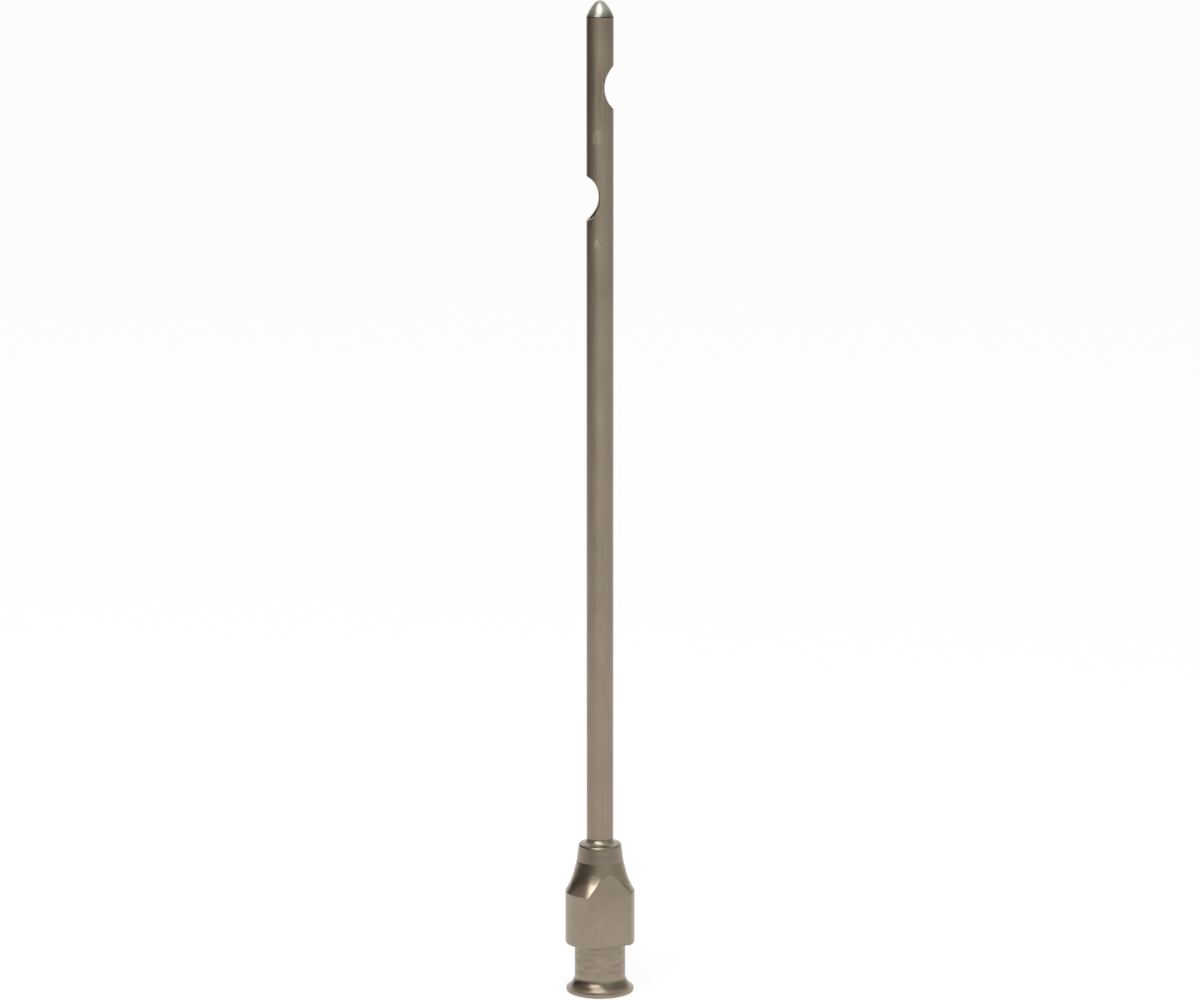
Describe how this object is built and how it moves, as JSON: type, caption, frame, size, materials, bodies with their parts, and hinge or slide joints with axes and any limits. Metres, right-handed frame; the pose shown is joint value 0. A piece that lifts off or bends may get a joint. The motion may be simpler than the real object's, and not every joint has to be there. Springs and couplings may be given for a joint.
{
  "type": "syringe needle",
  "caption": "Blunt bullet-tipped cannula needle with staggered side ports, on a turned metal luer hub with milled grip flats and a round flange.",
  "frame": {"origin": "centre of the base flange's face, on the bore axis: the plane that meets the syringe", "axes": "+Z runs along the bore from the hub to the blunt tip; the upper side port opens towards +X and the lower one towards -X; the picture's camera looks along +Y from about 5 degrees towards -X, and the front grip flat is turned 17 degrees from -Y towards +X"},
  "size_m": [0.008, 0.0078, 0.1146],
  "materials": {
    "hub_metal": "satin, lathe turned",
    "tube_steel": "satin, drawn",
    "tip_steel": "polished",
    "braze": "bright, flowed"
  },
  "bodies": {
    "root": {"hub": "hub_metal", "cannula_tube": "tube_steel", "bullet_tip": "tip_steel", "hub_braze_ring": "braze"}
  },
  "joints": []
}
